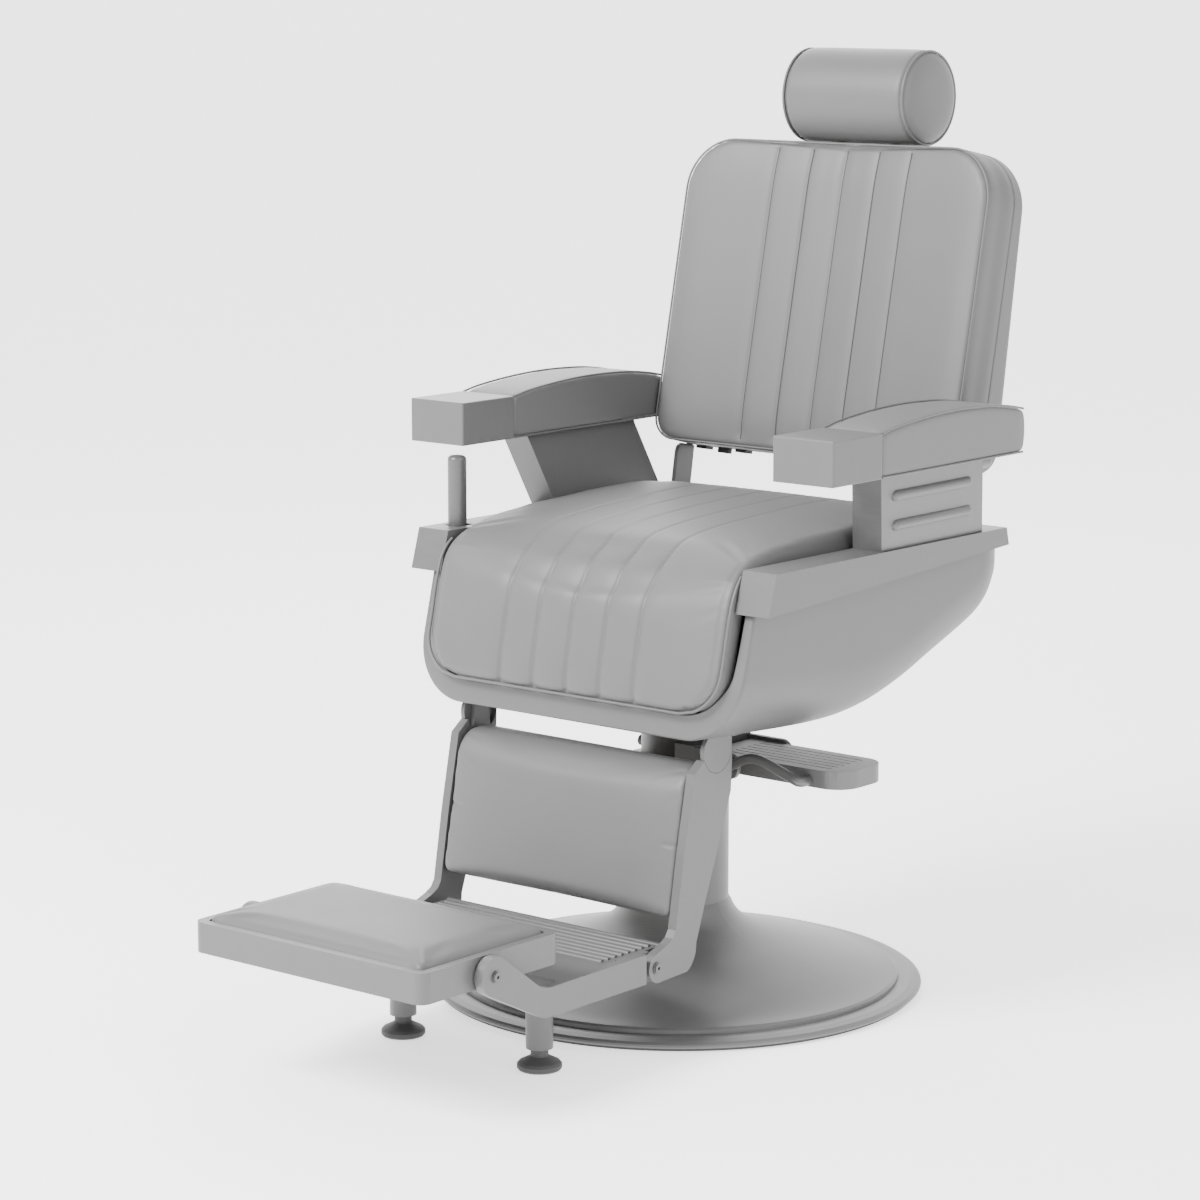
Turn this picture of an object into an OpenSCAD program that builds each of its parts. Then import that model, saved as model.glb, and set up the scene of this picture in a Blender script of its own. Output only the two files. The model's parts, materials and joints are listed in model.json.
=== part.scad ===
// Hydraulic barber chair at its lowest height, back upright and leg rest down.
// Origin: centre of the base on the floor. +Z up, the sitter faces -Y, +X is the sitter's left.

/* [Base and lift] */
// Diameter of the round floor base
base_d = 650; // [620:10:700]
// Outside diameter of the fixed column
column_d = 138.4; // [130:0.2:142]
// Diameter of the lifting ram
ram_d = 68; // [56:1:72]

/* [Seat] */
// Outside width of the seat shell
shell_w = 530; // [524:1:534]
// Wall of the seat shell
shell_wall = 12; // [8:1:12]
// Half of the distance between the side rails
rail_in = 243; // [242:0.5:246]
// Width of a side rail
rail_w = 51.5; // [44:0.5:54]

/* [Arms] */
// Width of an arm rest
arm_w = 92.5; // [80:0.5:96]
// Height of the flat underside of the arm rests
arm_z = 709.5; // [706:0.5:714]

/* [Back] */
// Lean of the back when upright
back_tilt = 12.08; // [10:0.01:14]
// Width of the back
back_w = 516; // [480:2:520]
// Height of the back along its face
back_h = 426; // [400:2:430]
// Diameter of the headrest roll
roll_d = 130; // [110:1:130]
// Length of the headrest roll
roll_l = 222; // [180:2:260]

/* [Leg rest] */
// Half width of the leg frame
leg_out = 202; // [202:0.5:203]
// Thickness of the leg bars and foot arms
bar_t = 12.5; // [12:0.5:13]
// Width of the flip-over footrest
pad_w = 375; // [350:1:375]

/* [Quality] */
// Facets of a full circle
facets = 96; // [48:8:128]

/* [Hidden] */
$fn = facets;
fit = 0.05;          // radial clearance of every running fit
gap = 0.5;           // side gap between faces that slide past each other

// Fixed column and ram
base_r = base_d / 2;
cover_r = base_r - 30;
column_r = column_d / 2;
column_top = 306;
plate_z = 4;
plate_top = 14;
ram_r = ram_d / 2;
ram_top = 368;
piston_z = 40;
cylinder_r = 44;
cover_profile = [
  [-4, 22], [-18, 25], [-33, 29], [-55, 35.5], [-80, 43], [-105, 50.5], [-135, 60], [-165, 70],
  [-190, 80.5], [-207, 91], [-217, 103], [-222, 113]
];

// Pump head and pedal
head_r = 47;
head_z = 308;
shell_floor = 394;
frame_z = 402;
frame_t = 10;
pedal_x = 130;
pedal_z = 321;
pedal_shaft_r = 8;
tread_end = 306;
tread_half = 50;
brace_x = 252;
brace_z = 319;
brace_r = 6.5;

// Seat shell
shell_r = 80;
shell_cx = shell_w / 2 - shell_r;
shell_path = [
  [-318, 641.3], [-320, 478], [0, 456], [80, 459], [150, 475], [220, 500], [285, 523], [322, 541], [322, 640]
];
rail_side = [[-176.6, 603.6], [328, 601], [333.8, 577.4], [-192.2, 551]];
rail_slope = (rail_side[2][1] - rail_side[3][1]) / (rail_side[2][0] - rail_side[3][0]);
rim_front = [-183, 548];
rim_lean = 14;
rail_out = rail_in + rail_w;

// Recline: back pivot, leg pivot and the crank that both share
back_pivot = [296, 560];
leg_pivot = [-172, 371];
crank = 45;
crank_in = 189;
crank_out = 195.3;
shaft_r = 12;
crank_pin_r = 5;
leg_pin_r = 7;
frame_in = 208;
frame_out = 216;
lock_z = 510;
lock_rod_r = 8;
lock_front = -88;
board_z = 550;
board_top = 562;
tab_y = [-90, 70, 215];
screw_x = 248;
screw_r = 3;

// Back, in its own leaning frame: x across, y from the front face back, z up the face
back_origin = [0, 291.2, 712.8];
back_low = -38;
cushion_t = 30;
board_t = 6;
back_t = 81;
back_t_top = 52;
post_x = 45;
post_y = 43;
post_r = 5.5;
roll_y = 28.5;
roll_z = 458.5;

// Leg frame and footrest
leg_in = leg_out - bar_t;
knuckle = [-292.6, 117.4];
boss = [-592.2, 171.7];
socket_r = 28.5;
foot_x = 113.5;
foot_y = -411.5;
tray_front = -704;
tray_rear = -458;
tray_z = 158;
tray_top = 196;
sweep_r = 139;

// ---------- helpers ----------
// Extrude an outline given in (y, z) along X
module side(points, x0, x1) {
  translate([x0, 0, 0]) rotate([90, 0, 90]) linear_extrude(x1 - x0) polygon(points);
}
module x_rod(r, x0, x1, y, z) {
  translate([x0, y, z]) rotate([0, 90, 0]) cylinder(r = r, h = x1 - x0);
}
module y_rod(r, y0, y1, x, z) {
  translate([x, y0, z]) rotate([-90, 0, 0]) cylinder(r = r, h = y1 - y0);
}
module z_rod(r, z0, z1, x = 0, y = 0) {
  translate([x, y, z0]) cylinder(r = r, h = z1 - z0);
}
module block(x, y, z) {
  translate([x[0], y[0], z[0]]) cube([x[1] - x[0], y[1] - y[0], z[1] - z[0]]);
}
// Round bar between two points
module bar(a, b, r) {
  d = b - a;
  translate(a) rotate([0, acos(d[2] / norm(d)), atan2(d[1], d[0])]) cylinder(r = r, h = norm(d), $fn = 32);
}
// Bent bar through a list of points, with a ball a little larger than the bar at each bend
module bent_bar(points, r) {
  for (i = [1:len(points) - 1]) bar(points[i - 1], points[i], r);
  for (i = [1:len(points) - 2]) translate(points[i]) sphere(r = r + 0.4, $fn = 32);
}
module mirrored() {
  children();
  mirror([1, 0, 0]) children();
}
module back_frame() {
  translate(back_origin) rotate([-back_tilt, 0, 0]) children();
}
function lean(v, w) = [
  back_origin[1] + v * cos(back_tilt) + w * sin(back_tilt),
  back_origin[2] - v * sin(back_tilt) + w * cos(back_tilt)
];
function arc(c, r, a0, a1, n) = [for (i = [0:n]) c + r * [cos(a0 + (a1 - a0) * i / n), sin(a0 + (a1 - a0) * i / n)]];
// Smooth curve through a list of points, n steps to each span
function end_twice(p) = concat([2 * p[0] - p[1]], p, [2 * p[len(p) - 1] - p[len(p) - 2]]);
function blend(a, b, c, d, t) = 0.5 * (2 * b + (c - a) * t + (2 * a - 5 * b + 4 * c - d) * t * t
  + (3 * b - a - 3 * c + d) * t * t * t);
function smooth_line(p, n) = let (q = end_twice(p)) [
  for (i = [1:len(q) - 3]) for (k = [0:(i == len(q) - 3 ? n : n - 1)]) blend(q[i - 1], q[i], q[i + 1], q[i + 2], k / n)
];
// Rounded rectangle of the back: top corners r1, bottom corners r0
module back_outline(inset, r1, r0) {
  w = back_w / 2 - inset;
  lo = back_low + inset;
  hi = back_low + back_h - inset;
  polygon(concat(
    arc([w - r1, hi - r1], r1, 0, 90, 10),
    arc([-w + r1, hi - r1], r1, 90, 180, 10),
    arc([-w + r0, lo + r0], r0, 180, 270, 8),
    arc([w - r0, lo + r0], r0, 270, 360, 8)
  ));
}
// Slab of the back between two depths
module back_slab(y0, y1, inset = 0, r1 = 75, r0 = 30) {
  translate([0, y1, 0]) rotate([90, 0, 0]) linear_extrude(y1 - y0) back_outline(inset, r1 - inset, r0);
}

// ---------- base ----------
module base_pad() {
  color("dimgray") z_rod(base_r - 7, 0, plate_z);
}
module base_ring() {
  color("silver") rotate_extrude() polygon([
    [cover_r - 14, plate_z], [base_r - 3, plate_z], [base_r, 7], [base_r - 0.5, 9.5], [base_r - 4, 12],
    [base_r - 14, 14], [cover_r + 0.5, 15], [cover_r - 14, 15]
  ]);
}
module base_plate() {
  color("gray") difference() {
    z_rod(cover_r - 14.3, plate_z, plate_top);
    for (a = [45:90:315]) rotate(a) z_rod(5, 0, 40, 92);
  }
}
module base_cover() {
  outer = [for (p = smooth_line(cover_profile, 4)) [cover_r + p[0], p[1]]];
  inner = [for (i = [len(outer) - 1:-1:0]) if (outer[i][0] < cover_r - 14) outer[i] - [2.2, 2.2]];
  top = [[column_r + 0.3, 119], [column_r + 0.3, 110.5]];
  color("silver") rotate_extrude() polygon(concat(
    [[cover_r - 12, 15], [cover_r, 15], [cover_r - 0.5, 19.5]], outer, top, inner, [[cover_r - 12, 21]]
  ));
}
module base_bolts() {
  color("dimgray") for (a = [45:90:315]) rotate(a) {
    z_rod(5, plate_z, 24.2, 92);
    translate([92, 0, 24.2]) cylinder(r = 8.5, h = 6, $fn = 6);
  }
}
module column_tube() {
  color("silver") difference() {
    union() {
      z_rod(column_r, plate_top, column_top - 10);
      z_rod(108, plate_top, 24);
    }
    z_rod(column_r - 5, 0, 400);
    for (a = [45:90:315]) rotate(a) z_rod(5, 0, 40, 92);
  }
}
module column_bush() {
  color("gray") difference() {
    union() {
      z_rod(column_r, column_top - 10, column_top);
      z_rod(column_r - 5, column_top - 40, column_top - 10);
    }
    z_rod(ram_r + fit, 0, 400);
    z_rod(ram_r + 6, column_top - 6, column_top - 1);
  }
}
module hydraulic_cylinder() {
  color("gray") difference() {
    z_rod(cylinder_r + 8, plate_top, column_top - 42);
    z_rod(cylinder_r, plate_top + 8, 400);
  }
}
module wiper_seal() {
  color("black") difference() {
    z_rod(ram_r + 6, column_top - 6, column_top - 1);
    z_rod(ram_r + fit, 0, 400);
  }
}

// ---------- lifting ram ----------
module ram() {
  color("gainsboro") difference() {
    z_rod(ram_r, piston_z, ram_top);
    z_rod(ram_r - 10, 0, ram_top - 40);
  }
}
module ram_piston() {
  color("gray") difference() {
    z_rod(cylinder_r - fit, piston_z - 16, piston_z);
    translate([0, 0, piston_z - 11]) rotate_extrude() translate([cylinder_r - 4, 0]) square([8, 6]);
  }
}
module piston_seal() {
  color("black") translate([0, 0, piston_z - 11]) rotate_extrude()
    translate([cylinder_r - 4, 0]) square([4 - fit, 6]);
}
module thrust_bearing() {
  color("gainsboro") difference() {
    z_rod(ram_r - 4, ram_top, ram_top + 8.7);
    z_rod(12, 0, 400);
  }
}

// ---------- pump head and pedal ----------
module pump_head() {
  color("darkgray") difference() {
    union() {
      z_rod(head_r, head_z, shell_floor + 0.2);
      z_rod(85, shell_floor, frame_z);
      block([44, 76], [-60, 60], [head_z + 2, 340]);
      mirrored_y() pedal_cheek();
    }
    z_rod(ram_r + fit, 0, ram_top + 9);
    x_rod(6 + fit, 49, 120, 0, 320);
    y_rod(pedal_shaft_r + fit, -80, 80, pedal_x, pedal_z);
    for (a = [45:90:315]) rotate(a) z_rod(5, shell_floor - 4, 430, 68);
  }
}
module mirrored_y() {
  children();
  mirror([0, 1, 0]) children();
}
module pedal_cheek() {
  y_rod(17, 52.5, 60, pedal_x, pedal_z);
  block([60, pedal_x], [52.5, 60], [head_z + 2, 338]);
}
module swivel_lock_knob() {
  color("dimgray") {
    x_rod(4, -54, -head_r, 0, 320);
    x_rod(7, -61, -54, 0, 320);
  }
}
module pump_plunger() {
  color("gainsboro") x_rod(6, 54, 85.2, 0, 320);
}
module pedal_shaft() {
  color("gainsboro") {
    y_rod(pedal_shaft_r, -76, 62.5, pedal_x, pedal_z);
    bent_bar([[pedal_x, -69, pedal_z], [152, -69, 330], [174, -69, 340], [188, -69, 340],
      [brace_x, -69, brace_z], [brace_x, -46, brace_z]], brace_r);
  }
}
module pedal_tread() {
  color("gray") difference() {
    translate([0, 0, 311]) linear_extrude(23) polygon(concat(
      arc([tread_end - 34, tread_half - 34], 34, 0, 90, 10),
      arc([98, tread_half - 12], 12, 90, 180, 5),
      arc([98, -tread_half + 12], 12, 180, 270, 5),
      arc([tread_end - 34, -tread_half + 34], 34, 270, 360, 10)
    ));
    y_rod(pedal_shaft_r, -80, 80, pedal_x, pedal_z);
    y_rod(brace_r + fit, -60, -46, brace_x, brace_z);
    for (i = [-2.5:2.5]) block([112, tread_end - 30], [i * 13 - 1.2, i * 13 + 1.2], [331.5, 340]);
    block([150, tread_end - 14], [-32, 32], [300, 317]);
  }
}

// ---------- seat frame and shell ----------
module seat_plate_bolts() {
  color("dimgray") for (a = [45:90:315]) rotate(a) {
    z_rod(5, shell_floor, frame_z + frame_t, 68);
    translate([68, 0, frame_z + frame_t]) cylinder(r = 8.5, h = 6, $fn = 6);
  }
}
module frame_cheek() {
  difference() {
    union() {
      side([[-176, 462], [60, 428], [130, 440], [225, 474], [322, 548], [322, 575], [270, 575],
        [262, board_z], [-168, board_z]], frame_in, frame_out);
      block([leg_out, frame_in + 1], [-174, -142], [466, 498]);
      x_rod(27, frame_in, frame_out, back_pivot[0], back_pivot[1]);
      for (y = tab_y) frame_tab(y);
    }
    x_rod(shaft_r + fit, frame_in - 1, frame_out + 1, back_pivot[0], back_pivot[1]);
    for (y = tab_y) z_rod(screw_r, 500, 620, screw_x, y);
  }
}
function tab_top(y) = 551 + (y - 12 + 192.2) * rail_slope;
module frame_tab(y) {
  z = tab_top(y);
  block([frame_out - 1, 251.8], [y - 12, y + 12], [z - 6, z]);
  block([frame_out - 1, frame_out + 4], [y - 12, y + 12], [535, z]);
}
module seat_frame() {
  color("dimgray") {
    difference() {
      block([-130, 130], [-112, 104], [frame_z, frame_z + frame_t]);
      for (a = [45:90:315]) rotate(a) z_rod(5, 300, 430, 68);
    }
    mirrored() block([95, 120], [-112, 104], [frame_z + frame_t - 1, 449]);
    block([-frame_in, frame_in], [-112, -88], [448, 470]);
    block([-frame_in, frame_in], [80, 104], [418, 440]);
    block([-14, 14], [-112, lock_front], [469, 532]);
    mirrored() frame_cheek();
  }
}
module shell_hull(r) {
  hull() mirrored() for (i = [0:len(shell_path) - 1]) {
    translate([shell_cx - 0.04 * i, shell_path[i][0], shell_path[i][1]]) sphere(r = r, $fn = 32);
  }
}
module seat_shell() {
  color("silver") difference() {
    shell_hull(shell_r);
    shell_hull(shell_r - shell_wall);
    translate([-400, rim_front[0], rim_front[1]]) rotate([-rim_lean, 0, 0]) translate([0, -400, -400]) cube([800, 400, 800]);
    side([[-400, 551 + rail_slope * (-400 + 192.2)], [500, 551 + rail_slope * (500 + 192.2)], [500, 900], [-400, 900]], -400, 400);
    z_rod(head_r + 1, 300, 500);
    mirrored() block([crank_in - 10, leg_out + 1], [-206, -112], [350, 420]);
  }
}
module rail_left() {
  color("silver") difference() {
    side(rail_side, rail_in, rail_out);
    for (y = tab_y) z_rod(screw_r, 500, 590, screw_x, y);
  }
}
lever_y = -130;
lever_x = rail_in + 25.5;
lever_pin_z = 575;
module rail_right() {
  color("silver") mirror([1, 0, 0]) difference() {
    rail_left();
    block([lever_x - 13.1, lever_x + 13.1], [lever_y - 13.4, lever_y + 18.6], [564, 620]);
    x_rod(4 + fit, rail_in + 4, rail_out - 4, lever_y, lever_pin_z);
  }
}
module rail_screws() {
  color("dimgray") mirrored() for (y = tab_y) {
    z_rod(screw_r, tab_top(y) - 6, 590, screw_x, y);
    z_rod(screw_r + 0.9, tab_top(y) - 10, tab_top(y) - 6, screw_x, y);
  }
}
module recline_lever() {
  color("gainsboro") mirror([1, 0, 0]) {
    z_rod(12.5, lever_pin_z, 690.5, lever_x, lever_y);
    translate([lever_x, lever_y, 690.5]) rotate_extrude() polygon(concat([[0, 0]], arc([7, 0], 5.5, 0, 90, 6), [[0, 6.5]]));
    translate([lever_x, lever_y, lever_pin_z]) sphere(r = 10);
    x_rod(4, rail_in + 4, rail_out - 4, lever_y, lever_pin_z);
  }
}
module seat_board() {
  color("burlywood") difference() {
    block([-226, 226], [-165, 236], [board_z, board_top]);
    mirrored() for (y = tab_y) block([frame_out - 2, 230], [y - 12.5, y + 12.5], [540, 580]);
  }
}
// Seat cushion outline in (y, z): top from the rear, over the front edge and down the flap
cushion_side = [
  [246, 562], [248, 612], [240, 626], [215, 633], [150, 635], [60, 633], [-40, 629], [-120, 622],
  [-160, 612], [-186, 597], [-202, 572], [-218, 526], [-230, 470], [-239, 432], [-235, 421],
  [-200, 421], [-190, 440], [-178, 540], [-168, 562]
];
module seat_cushion() {
  color("silver") difference() {
    cushion_body();
    mirrored() for (y = tab_y) block([frame_out - 2, 240], [y - 12.5, y + 12.5], [540, tab_top(y) + 0.5]);
  }
}
module cushion_body() {
  intersection() {
    side(cushion_side, -236, 236);
    translate([0, 300, 0]) rotate([90, 0, 0]) linear_extrude(600) polygon(concat(
      arc([236 - 54, 421 + 54], 54, 270, 360, 8),
      [[236, 612], [222, 626], [120, 634], [-120, 634], [-222, 626], [-236, 612]],
      arc([-236 + 54, 421 + 54], 54, 180, 270, 8)
    ));
  }
}

// ---------- arms ----------
arm_in = 254.2;
arm_out = arm_in + arm_w;
arm_bar = [281, 319];
module arm_slice(z, x, y) {
  translate([x, y, z]) cube([45, 226.5, 0.01]);
}
module arm_bracket_left() {
  color("silver") {
    hull() {
      side([[49.5, 602.45], [276, 601.3], [276, 601.4], [49.5, 602.55]], 245, 290);
      arm_slice(arm_z - 0.1, 269.5, 11.5);
    }
    block(arm_bar, [-112, 262], [arm_z - 0.2, arm_z + 10]);
    for (z = [636, 676]) hull() for (y = [80, 239.5]) {
      translate([288.8 + (z - 603.6) * 0.231, y - (z - 603.6) * 0.359, z]) sphere(r = 7.6, $fn = 24);
    }
    arm_boss();
  }
}
module arm_boss() {
  hull() for (y = [215, 262]) translate([300, y, arm_z - 11]) sphere(r = 10.8, $fn = 24);
}
module arm_cap_left() {
  color("silver") difference() {
    block([arm_in, arm_out], [-134.2, -31], [arm_z, 766.5]);
    block(arm_bar, [-112, -20], [arm_z - 5, arm_z + 10]);
  }
}
arm_pad_side = [
  [-30.5, 709.7], [290, 709.7], [294, 722], [295, 740], [294, 755], [290, 767.5], [250, 773.5],
  [204, 778.5], [136, 780.4], [69, 778], [20, 773.8], [-30.5, 766.5]
];
module arm_pad_left() {
  color("silver") difference() {
    side(arm_pad_side, arm_in + 1, arm_out - 1);
    block(arm_bar, [-40, 262], [arm_z - 5, arm_z + 10]);
  }
}

// ---------- leg pivot hangers ----------
// Fixed cheek under the shell: round end about the leg pivot, neck and forward flare
hanger_side = concat(
  arc(leg_pivot, socket_r - gap, 160, 360, 28),
  [[-144, 386], [-140, 500], [-176, 500], [-181, 440], [-187, 420], [-190, 392]]
);
module leg_hanger_left() {
  color("silver") difference() {
    side(hanger_side, crank_out + gap, leg_out);
    x_rod(leg_pin_r + fit, crank_out, leg_out - 2, leg_pivot[0], leg_pivot[1]);
  }
}

// ---------- recline lock ----------
module lock_cylinder() {
  color("gray") difference() {
    y_rod(20, lock_front, 210, 0, lock_z);
    y_rod(14 + fit, lock_front + 10, 200, 0, lock_z);
    y_rod(lock_rod_r + fit, 190, 220, 0, lock_z);
  }
}
module lock_rod() {
  color("gainsboro") difference() {
    union() {
      y_rod(lock_rod_r, 60, 282, 0, lock_z);
      y_rod(14, 60, 84, 0, lock_z);
      block([-9, 9], [279, 313], [490, 542]);
    }
    block([-10, 10], [287, 305], [498, 535]);
  }
}

// ---------- back ----------
module back_shaft() {
  color("dimgray") {
    x_rod(shaft_r, -231.7, 231.7, back_pivot[0], back_pivot[1]);
    mirrored() difference() {
      side([[back_pivot[0] - 11, back_pivot[1]], [back_pivot[0] - 9, back_pivot[1] + crank + 6.5],
        [back_pivot[0] + 9, back_pivot[1] + crank + 6.5], [back_pivot[0] + 11, back_pivot[1]]], crank_in, crank_out);
    }
    mirrored() x_rod(crank_pin_r, 180, crank_in + 1, back_pivot[0], back_pivot[1] + crank);
    for (x = [-18, 11]) side([[back_pivot[0] - 10, back_pivot[1]], [back_pivot[0] - 9, lock_z - 8],
      [back_pivot[0] + 9, lock_z - 8], [back_pivot[0] + 10, back_pivot[1]]], x, x + 7);
    x_rod(6, -14, 14, back_pivot[0], lock_z);
  }
}
bracket_side = [
  [276, 560], [284, 618], lean(11, back_low - 12), lean(13, back_low - 5), lean(20, back_low - 0.3),
  lean(36, back_low - 0.3), lean(36, 20), lean(44, 20), lean(44, back_low - 0.3), lean(48, back_low - 0.3),
  [322, 615], [318, 560], [296, 538]
];
module back_bracket_left() {
  color("silver") side(bracket_side, 231.7, 238.2);
}
module back_board() {
  color("burlywood") back_frame() back_slab(cushion_t, cushion_t + board_t, 7);
}
// Cushion seen from above: the face is hollow across, so the sides stand further forward
back_face = [
  [258, 60], [258, 14], [253.2, 8], [253.2, -22], [249, -28], [200, -21], [110, -12], [0, -4],
  [-110, -12], [-200, -21], [-249, -28], [-253.2, -22], [-253.2, 8], [-258, 14], [-258, 60]
];
module back_cushion() {
  color("silver") back_frame() intersection() {
    back_slab(-30, cushion_t, 0);
    translate([0, 0, back_low - 1]) linear_extrude(back_h + 2) polygon(back_face);
  }
}
// Wedge that gives the cover its taper towards the top
module cover_wedge(drop, front) {
  side([[front, back_low - 9], [back_t + 0.6 - drop, back_low - 9], [back_t_top - drop, back_low + back_h],
    [front, back_low + back_h]], -260, 260);
}
module back_cover() {
  color("silver") back_frame() difference() {
    intersection() {
      back_slab(cushion_t + 0.1, back_t + 5, 0);
      cover_wedge(0, cushion_t + 0.1);
    }
    intersection() {
      back_slab(cushion_t - 1, back_t + 5, 6.7);
      cover_wedge(2.2, cushion_t - 1);
    }
    for (s = [-1, 1]) translate([s * post_x, post_y, 300]) cylinder(r = 7.5, h = 100);
    for (s = [-1, 1]) translate([s * 235 - 3.5, 35.9, back_low - 5]) cube([7, 8.2, 20]);
  }
}
module headrest_sleeves() {
  color("gray") back_frame() for (s = [-1, 1]) difference() {
    translate([s * post_x, post_y, 190]) cylinder(r = 6.9, h = 196);
    translate([s * post_x, post_y, 180]) cylinder(r = post_r + fit, h = 240);
  }
}
module back_glides() {
  color("dimgray") back_frame() {
    for (x = [-214, -145, 145, 214]) translate([x - 9, 40, back_low - 4]) cube([18, 16, 4]);
    for (x = [-178, 178]) translate([x, 48, back_low - 7]) cylinder(r = 10, h = 7);
  }
}
module headrest_posts() {
  color("gainsboro") back_frame() {
    for (s = [-1, 1]) translate([s * post_x, post_y, 200]) cylinder(r = post_r, h = roll_z - 200);
    translate([-post_x, post_y, roll_z]) rotate([0, 90, 0]) cylinder(r = post_r, h = 2 * post_x);
    for (s = [-1, 1]) translate([s * post_x, post_y, roll_z]) sphere(r = post_r);
  }
}
module headrest_roll() {
  color("silver") back_frame() difference() {
    union() {
      translate([-roll_l / 2 + 8, roll_y, roll_z]) rotate([0, 90, 0]) cylinder(d = roll_d, h = roll_l - 16);
      translate([-roll_l / 2, roll_y, roll_z]) rotate([0, 90, 0]) cylinder(d = roll_d - 36, h = roll_l);
    }
    for (s = [-1, 1]) translate([s * post_x, post_y, 380]) cylinder(r = post_r + 0.2, h = roll_z - 380);
    translate([-post_x, post_y, roll_z]) rotate([0, 90, 0]) cylinder(r = post_r + 0.2, h = 2 * post_x);
    for (s = [-1, 1]) translate([s * post_x, post_y, roll_z]) sphere(r = post_r + 0.2);
  }
}

// ---------- links between the back and the leg rest ----------
link_side = [
  [296, 611], [302, 611], [327, 604], [327, 520], [318, 506], [-168, 407.5], [-178, 409], [-181, 416],
  [-177, 424], [-170, 427], [300, 527], [311, 536], [311, 594], [290, 597], [287, 605]
];
module recline_links() {
  color("gray") mirrored() difference() {
    side(link_side, crank_in - 7.5, crank_in - 1.5);
    for (p = [back_pivot, leg_pivot]) x_rod(crank_pin_r + fit, 150, 200, p[0], p[1] + crank);
  }
}

// ---------- leg rest ----------
// Outline of a leg bar below its pivot, in (y, z)
leg_side = concat(
  arc(leg_pivot, socket_r, 198, 358, 24),
  [[-143, 369], [-145, 316], [-172, 244], [-198, 178], [-214, 133]],
  arc([-250, 131], 36, 0, -60, 8),
  arc([-288, 116.5], 19, 285, 100, 16),
  [[-272, 142], [-261, 148], [-255, 157], [-238.8, 250], [-218.5, 348]]
);
tongue_side = concat(
  arc([leg_pivot[0], leg_pivot[1] + crank], 10, 0, 180, 12),
  [[leg_pivot[0] - 14, leg_pivot[1]], [leg_pivot[0] - 22, 330], [leg_pivot[0] + 18, 330], [leg_pivot[0] + 14, leg_pivot[1]]]
);
module leg_bar_left() {
  color("silver") {
    difference() {
      union() {
        side(leg_side, leg_in, leg_out);
        side(tongue_side, leg_in, crank_out);
      }
      x_rod(6 + fit, leg_in - 1, leg_out + 1, knuckle[0], knuckle[1]);
    }
    x_rod(crank_pin_r, 180, leg_in + 1, leg_pivot[0], leg_pivot[1] + crank);
    x_rod(leg_pin_r, leg_in + 1, leg_out - 2.5, leg_pivot[0], leg_pivot[1]);
  }
}
calf_side = [
  [-256, 168], [-222.5, 338], [-214, 349], [-200, 354.5], [-162, 355], [-196, 165], [-250, 165]
];
module calf_pad() {
  color("silver") side(calf_side, -188.8, 188.8);
}
module calf_board() {
  color("burlywood") side([[-164.6, 340], [-155, 338], [-184, 170], [-195.4, 168]], -leg_in, leg_in);
}

// ---------- footplate ----------
arm_side = concat(
  arc(boss, 24, 53, 244, 20),
  arc([-498.6, 126], 25, 244, 270, 6),
  [[-312.5, 101], [-312.5, 138.5]],
  arc([-491.7, 182.3], 45, 270, 233, 10)
);
module foot_arm_left() {
  color("silver") {
    difference() {
      union() {
        side(arm_side, leg_in, leg_out);
        side([[-345, 103], [-345, 135], [-292, 136], [-277, 128], [-274, 117], [-277, 107], [-292, 101]],
          leg_in - 11.5, leg_in - gap);
        side([[-345, 103], [-345, 135], [-314, 135.5], [-314, 102]], leg_in - 1, leg_in + 1);
      }
      x_rod(6 + fit, leg_in - 20, leg_out + 1, knuckle[0], knuckle[1]);
      x_rod(6 + fit, leg_in - 1, leg_out + 1, boss[0], boss[1]);
    }
  }
}
module tread_plate() {
  w = leg_in - 11.5;
  top = 134;
  color("silver") difference() {
    union() {
      block([-w, w], [-347, -252], [top - 9, top]);
      block([-leg_in, leg_in], [-480, -346], [top - 9, top]);
      block([-leg_in, leg_in], [-480, -455], [103, top - 8]);
      for (i = [0:7]) x_rod(3.2, -w + 8, w - 8, -268 - i * 13, top - 0.6);
      x_rod(5, -w, w, -253, top - 3);
      for (s = [-1, 1]) z_rod(17, 27, top - 8, s * foot_x, foot_y);
    }
    x_rod(sweep_r, -leg_in - 1, leg_in + 1, boss[0], boss[1]);
    for (s = [-1, 1]) z_rod(11 + fit, 20, 110, s * foot_x, foot_y);
  }
}
module pivot_screw(p, x_end) {
  difference() {
    union() {
      x_rod(6, x_end, leg_out, p[0], p[1]);
      x_rod(7.5, leg_out, leg_out + 2, p[0], p[1]);
      x_rod(6, leg_out + 2, leg_out + 3.6, p[0], p[1]);
    }
    translate([leg_out + 1.4, p[0], p[1]]) rotate([0, 90, 0]) cylinder(r = 2.4, h = 4, $fn = 6);
  }
}
module pivot_screws() {
  color("gray") mirrored() {
    pivot_screw(knuckle, leg_in - 11.5);
    pivot_screw(boss, pad_w / 2 - 14);
  }
}

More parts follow.
